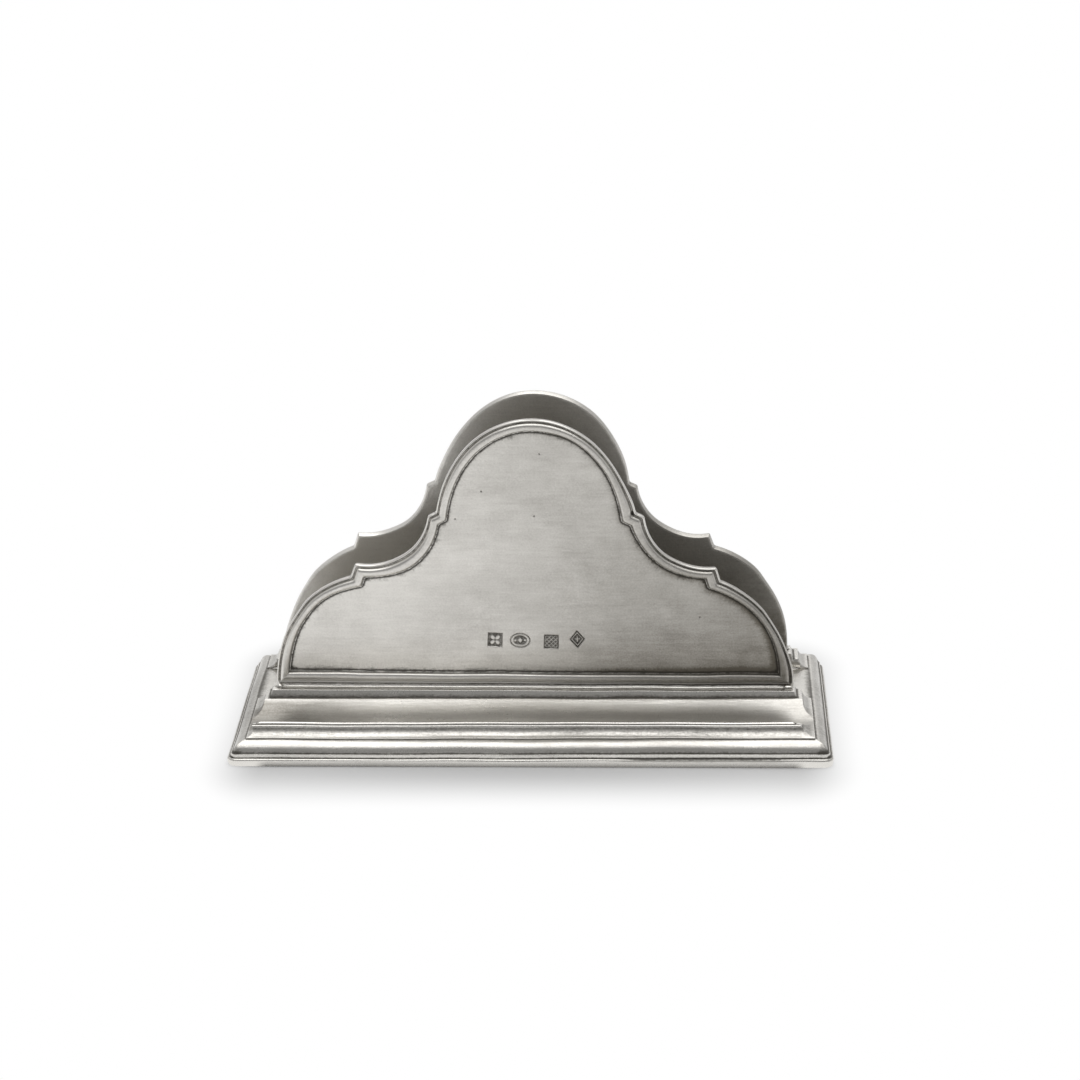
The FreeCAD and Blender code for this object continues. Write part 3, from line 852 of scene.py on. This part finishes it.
def fill(loop, spacing, patches):
    """Triangles inside a closed loop, with a grid of points and any finer patches."""
    low, high = loop.min(0), loop.max(0)
    xs, zs = (np.arange(a + spacing / 2, b, spacing) for a, b in zip(low, high))
    field = np.stack(np.meshgrid(xs, zs), axis=-1)
    field[::2, :, 0] += spacing / 2
    field = field.reshape(-1, 2)
    gap = np.full(len(field), 1e9)
    inside = np.zeros(len(field), bool)
    for (ax, az), (bx, bz) in zip(loop, np.roll(loop, -1, axis=0)):
        gap = np.minimum(gap, (field[:, 0] - ax) ** 2 + (field[:, 1] - az) ** 2)
        if az != bz:
            crosses = (az > field[:, 1]) != (bz > field[:, 1])
            inside ^= crosses & (field[:, 0] < ax + (field[:, 1] - az) / (bz - az) * (bx - ax))
    keep = inside & (gap > (0.6 * spacing) ** 2)
    for patch in patches:
        room = np.ptp(patch, axis=0) / 2 + 0.5 * spacing
        keep &= ~np.all(np.abs(field - patch.mean(0)) < room, axis=1)
    points = np.concatenate([loop, field[keep], *patches])
    edges = [(i, (i + 1) % len(loop)) for i in range(len(loop))]
    made = delaunay_2d_cdt([Vector(p) for p in points], edges, [list(range(len(loop)))], 1, 1e-5)
    return np.array([tuple(p) for p in made[0]]), [list(f) for f in made[2]]


def bump(distance, soft=0.16):
    """1 where a distance is above 0, 0 below, over a short slope."""
    share = span(distance, -soft / 2, soft / 2)
    return share * share * (3 - 2 * share)


def punch_relief(u, v, motif):
    """How deep a punch mark is at each spot, in shares of its full depth."""
    if motif == "pit":
        return bell(np.hypot(u, v * 1.3), 0.0, 0.26)
    if motif == "oval":
        ring = np.sqrt((u / 3.05) ** 2 + (v / 2.3) ** 2)
        bead = np.maximum(bump(0.75 - np.abs(u) - 0.8 * np.abs(v)),
                          bump(0.42 - np.hypot(np.abs(u) - 1.45, v)))
        return bump((1 - ring) * 2.4) * (1 - 0.95 * bump(0.13 - np.abs(ring - 0.79), 0.1)
                                         - 0.75 * bead * (ring < 0.7))
    if motif == "lozenge":
        field = bump((1 - np.abs(u) / 2.3 - np.abs(v) / 2.8) * 1.8)
        inner_line = bump(0.16 - np.abs(1 - np.abs(u) / 2.3 - np.abs(v) / 2.8 - 0.27) * 1.8, 0.12)
        cross = np.maximum(bump(0.2 - np.abs(u)) * (np.abs(v) < 1.0),
                           bump(0.2 - np.abs(v)) * (np.abs(u) < 0.8))
        return field * (1 - 0.8 * np.maximum(inner_line, cross))
    field = bump(2.2 - np.maximum(np.abs(u), np.abs(v)))
    if motif == "flower":
        turn, reach = np.arctan2(v, u), np.hypot(u, v)
        raised = bump(1.85 * np.abs(np.cos(2 * turn + math.pi / 2)) ** 0.7 - reach) * bump(reach - 0.35)
    else:
        raised = np.maximum(bump(0.17 - np.abs((u + v + 9.1) % 1.3 - 0.65)),
                            bump(0.17 - np.abs((u - v + 9.1) % 1.3 - 0.65)))
        raised *= bump(1.85 - np.maximum(np.abs(u), np.abs(v)))
    return field * (1 - 0.8 * raised)


def hem_of(flat, loop, reach=8.0):
    """For each spot its run along a loop, its nearness to it (1 on it, 0 at reach) and 0."""
    away = np.hypot(*(flat[:, None] - loop[None]).transpose(2, 0, 1))
    run = np.cumsum(np.hypot(*(loop - np.roll(loop, 1, axis=0)).T))
    near = span(away.min(axis=1), reach, 0.0)
    return np.column_stack([run[away.argmin(axis=1)], near, np.zeros(len(flat))])


def nicks(spots):
    """Dark nicks where flank and shoulder meet, in shares: one each side."""
    corner = part_end(outline_parts()[6], False)
    share = np.zeros(len(spots))
    for side, strength in ((-1, 1.0), (1, 0.8)):
        away = np.hypot(spots[:, 0] - side * (corner[0] - 0.2), spots[:, 2] - corner[1] - 0.1)
        share += bell(away, 0.0, 0.55) * (spots[:, 1] < -1.5) * strength
    return share


def struck(flat):
    """How far the panel's spots are sunk by the punch marks, and the film in them."""
    sunk, film = np.zeros(len(flat)), np.zeros(len(flat))
    for x, z, lean, motif, half in punches:
        near = np.all(np.abs(flat - (x, z)) < half + 0.05, axis=1)
        turn = math.radians(lean)
        u, v = (flat[near] - (x, z)).T
        u, v = u * math.cos(turn) + v * math.sin(turn), v * math.cos(turn) - u * math.sin(turn)
        share = punch_relief(u, v, motif)
        if motif == "pit":
            sunk[near], film[near] = share * 0.2, -0.55 * share
        else:
            sunk[near] = share * 0.35
            film[near] = -0.62 * share + 0.18 * (share > 0.02) * (share < 0.3)
    return sunk, film


def plate_mesh(name, marked):
    """Rim, panel and back of a plate as one closed shell, its back in the plane y = 0."""
    rim = grown(name + "_rim", rim_tree, rim_width=rim_width * MM, metal=plate_metal,
                **panel_guides())
    spots = spots_of(rim.data)
    across = (inner - outer) / rim_width
    foot_line = outer + across * rim_rows[-1, 0]
    hems = hem_of(spots[:, [0, 2]], foot_line)
    hems[(hems[:, 1] < 0.995) | (np.abs(spots[:, 1] + panel_depth) > 0.02)] = 0.0
    nick = nicks(spots)
    spots[:, 1] += 0.5 * nick
    all_spots, all_wear, all_hems = [spots], [wear_and_light_of(rim.data) - 1.1 * nick], [hems]
    all_faces = [list(p.vertices) for p in rim.data.polygons]
    bpy.data.objects.remove(rim)
    patches = []
    for x, z, _, _, half in punches if marked else ():
        ticks = np.arange(-half, half + 0.01, 0.13)
        patches.append(np.stack(np.meshgrid(ticks, ticks), axis=-1).reshape(-1, 2) + (x, z))
    back_line = outer + across * rim_rows[0, 0]
    for loop, spacing, finer, depth in ((foot_line, 1.6, patches, -panel_depth),
                                        (back_line, 4.0, [], 0.0)):
        flat, triangles = fill(loop, spacing, finer)
        sunk, film = struck(flat) if finer else (np.zeros(len(flat)),) * 2
        start = sum(len(s) for s in all_spots)
        all_faces += [[i + start for i in t] for t in triangles]
        all_spots.append(np.column_stack([flat[:, 0], depth + sunk, flat[:, 1]]))
        all_wear.append(film)
        all_hems.append(hem_of(flat, loop) if depth else np.zeros((len(flat), 3)))
    mesh = bpy.data.meshes.new(name)
    mesh.from_pydata((np.concatenate(all_spots) * MM).tolist(), [], all_faces)
    store(mesh, "wear", np.concatenate(all_wear))
    store(mesh, "hem", np.concatenate(all_hems))
    mesh.materials.append(plate_metal)
    return in_scene(name, mesh)


def stand(spots, back, facing):
    """Stands a plate with its back at y = back; facing is -1 for front and 1 for rear."""
    spots[:, 0] *= -facing
    spots[:, 1] = back - facing * spots[:, 1]
    low = span(spots[:, 2], platform_height + 1.0, platform_height)
    spots[:, 2] -= low * (platform_height - seat_height)
    return spots


def plate_hand(spots):
    """The plate was filed by eye: its features lean a little to the right as they rise."""
    rise = span(spots[:, 2], platform_height, platform_height + 10.0)
    lean = math.radians(0.6) * rise
    x, z = spots[:, 0].copy(), spots[:, 2].copy()
    spots[:, 0] = x + lean * (z - 50.0) * 0.3 + 0.3 * rise
    spots[:, 2] = z - lean * x
    return spots


def add_plate(name, node, marked, back, facing, warp=None):
    """A plate where its CAD node stands, finished."""
    piece = plate_mesh(name, marked)
    put(piece.data, stand(spots_of(piece.data), back, facing))
    finished(piece, warp)
    fixed(piece, "pewter_plate", node)


add_plate("front_plate_casting", "front_plate", True, channel_front, -1, plate_hand)

# ---------------------------------------------------------------- rear plate
# A second casting from the same pattern, unmarked, with its panel facing back.
add_plate("rear_plate_casting", "rear_plate", False, channel_back, 1)

# ---------------------------------------------------------------- solder
# Soft solder run along the foot of each plate and, inside the channel, along each upper
# casting.  The plate seams end in a drop at each side.
solder_metal = pewter("solder", 0.25, 0.28, 0.2)
source = new_tree("solder seam", ("Section", "Object"), ("Length", "Float"), ("Columns", "Int"),
                  ("Leg", "Float"), ("Unevenness", "Float"), ("Seed", "Float"),
                  ("Metal", "Material"))
seam_tree = source.tree
section = points_of(source, "Section")
grid, column, row = lattice(source.out("Columns"), count(section))
x = (column / (source.out("Columns") - 1) - 0.5) * source.out("Length")
swell = source.node("ShaderNodeTexNoise", {"W": x * 260.0 + source.out("Seed"), "Scale": 1.0,
                                           "Detail": 3.0, "Roughness": 0.6},
                    noise_dimensions="1D")
to_end = source.out("Length") * 0.5 - x.maths("ABSOLUTE", x)
size = source.out("Leg") * (1.0 - swell * source.out("Unevenness")) * to_end.step(-0.001, 0.004)
shape = spot_at(section, row).parts()
place = source.xyz(x, shape.out("Y") * size / MM, shape.out("Z") * size / MM)
end_tree(grid, place, (swell - 0.5) * 0.8, source.out("Metal"))


def add_drop(work, radius, x, rng):
    """A drop of solder as it set: a flattened ball, a little lumpy, with a painted highlight on top and
    painted shade underneath.
    """
    ball = bmesh.ops.create_icosphere(work, subdivisions=4, radius=radius * MM)["verts"]
    lean = rng.uniform(0, 6.28, 3)
    wear = work.verts.layers.float["wear"]
    for vert in ball:
        u = vert.co / (radius * MM)
        # Painted light: the wear value rises from the drop's underside to its top, so it is lighter on
        # top.
        vert[wear] = min(max(1.3 * u.z - 0.45, -0.8), 0.9)
        lump = 1 + 0.10 * math.sin(3 * u.x + lean[0]) + 0.08 * math.sin(4 * u.z + lean[1])
        vert.co = Vector((u.x, u.y * 0.8, u.z * 0.72)) * radius * MM * lump * 0.86
        vert.co.x += x * MM


def seam(name, node, y, z, away, leg, length, seed, drop_radius=0.0):
    """One seam in an inside corner at (y, z), with a drop at each end if it has a radius."""
    face = [(0.0, 0.0), (1.0, 0.0)] + arc((1.0, 0.0), (0.0, 1.0), -60.0, 6) + [(0.0, 0.0)]
    rows = [(0.0, away * u, v) for u, v in face]
    piece = grown(name, seam_tree, section=guide(name + "_section", rows, [0.0] * len(rows)),
                  length=length * MM, columns=240, leg=leg * MM, unevenness=0.55, seed=seed,
                  metal=solder_metal)
    work = bmesh.new()
    work.from_mesh(piece.data)
    rng = np.random.default_rng(int(seed))
    for side in (-1, 1) if drop_radius else ():
        add_drop(work, drop_radius, side * (length / 2 - 0.2), rng)
    work.to_mesh(piece.data)
    work.free()
    put(piece.data, spots_of(piece.data) + (0.0, y, z))
    finished(piece)
    fixed(piece, "solder", node)


plate_leg, drop_radius = 0.9, 1.5
floor_leg = 1.2
foot_length = 2 * (plate_half_width - 1.5)
floor_length = base_width - 2 * (cove_inset + 1.2)
seam("front_plate_seam", "front_plate_solder", channel_front - plate_thickness,
     platform_height, -1, plate_leg, foot_length, 3.0, drop_radius)
seam("rear_plate_seam", "rear_plate_solder", channel_back + plate_thickness,
     platform_height, 1, plate_leg, foot_length, 9.0, drop_radius)
seam("tray_seam", "pen_tray_solder", channel_front, plinth_height, 1, floor_leg, floor_length, 17.0)
seam("step_seam", "rear_step_solder", channel_back, plinth_height, -1, floor_leg, floor_length,
     23.0)

# ---------------------------------------------------------------- stage
# A white floor that keeps a soft shadow round the base, with a grey painted shadow on it near
# the base that fades into white further out, one wide softbox overhead, a room that is darker
# behind the camera than behind the object, and the camera.
def grey(level):
    return level, level, level, 1.0


bpy.ops.mesh.primitive_plane_add(size=14.0, location=(0.0, 0.0, 0.0))
floor = bpy.context.object
floor.name = "floor"
paper = bpy.data.materials.new("white_paper")
start = cleared(paper)
# Painted shadow: near the base the floor is a grey sheet (0.62) carrying its real shading; further out
# it turns to white emission.
painted_shadow_sheet = start.node("ShaderNodeBsdfDiffuse", {"Color": grey(0.62)})
spot = start.vector("ABSOLUTE", start.node("ShaderNodeTexCoord").out("Object"))
under = ((base_width / 2 - 12.0) * MM, base_depth / 2 * MM, 1.0)
spot = start.vector("MAXIMUM", start.vector("SUBTRACT", spot, under), (0.0, 0.0, 0.0))
spot = start.vector("MULTIPLY", spot, (1.6, 1.0, 1.0))      # the painted shadow is narrow at the sides
away = start.vector("LENGTH", spot).out("Value")
rays = start.node("ShaderNodeLightPath")
# Camera rays see the grey painted shadow out to about 35 mm from the base, glossy rays only to about 7
# mm, so metal reflects a whiter floor than the camera sees.
shown = (rays.out("Is Camera Ray") + rays.out("Is Transmission Ray")) * away.step(0.0, 0.035)
mirrored = rays.out("Is Glossy Ray") * away.step(0.0, 0.007)
white = start.node("ShaderNodeEmission", {"Color": grey(1.0), "Strength": 1.0})
start.node("ShaderNodeOutputMaterial", {"Surface": start.node(
    "ShaderNodeMixShader", {0: (shown + mirrored).clamped(), 1: painted_shadow_sheet, 2: white})})
floor.data.materials.append(paper)

lamp = bpy.data.lights.new("softbox", "AREA")
lamp.shape, lamp.size, lamp.size_y = "RECTANGLE", 1.3, 3.0
lamp.energy = 16.5
in_scene("softbox", lamp).location = (0.10, 0.85, 1.25)

room = bpy.data.worlds.new("studio")
start = cleared(room)
ahead = start.node("ShaderNodeTexCoord").out("Generated").parts().out("Y").step(-0.6, 0.1)
walls = start.node("ShaderNodeBackground", {"Color": ahead.colour(grey(0.31), grey(0.66))})
start.node("ShaderNodeOutputWorld", {"Surface": walls})
bpy.context.scene.world = room
bpy.context.scene.view_settings.view_transform = "Standard"

camera = bpy.data.cameras.new("camera")
camera.lens, camera.sensor_width = 124.76, 36.0
pitch, yaw, roll = (math.radians(a) for a in (17.66, -2.05, -0.56))
look = Vector((math.sin(yaw) * math.cos(pitch), math.cos(yaw) * math.cos(pitch), -math.sin(pitch)))
level = Vector((math.cos(yaw), -math.sin(yaw), 0.0))
upright = level.cross(look)
side = math.cos(roll) * level + math.sin(roll) * upright
top = -math.sin(roll) * level + math.cos(roll) * upright
eye = in_scene("camera", camera)
eye.matrix_world = Matrix.LocRotScale(Vector((0.04084, -1.07774, 0.40032)),
                                      Matrix((side, top, -look)).transposed().to_quaternion(), None)
bpy.context.scene.camera = eye
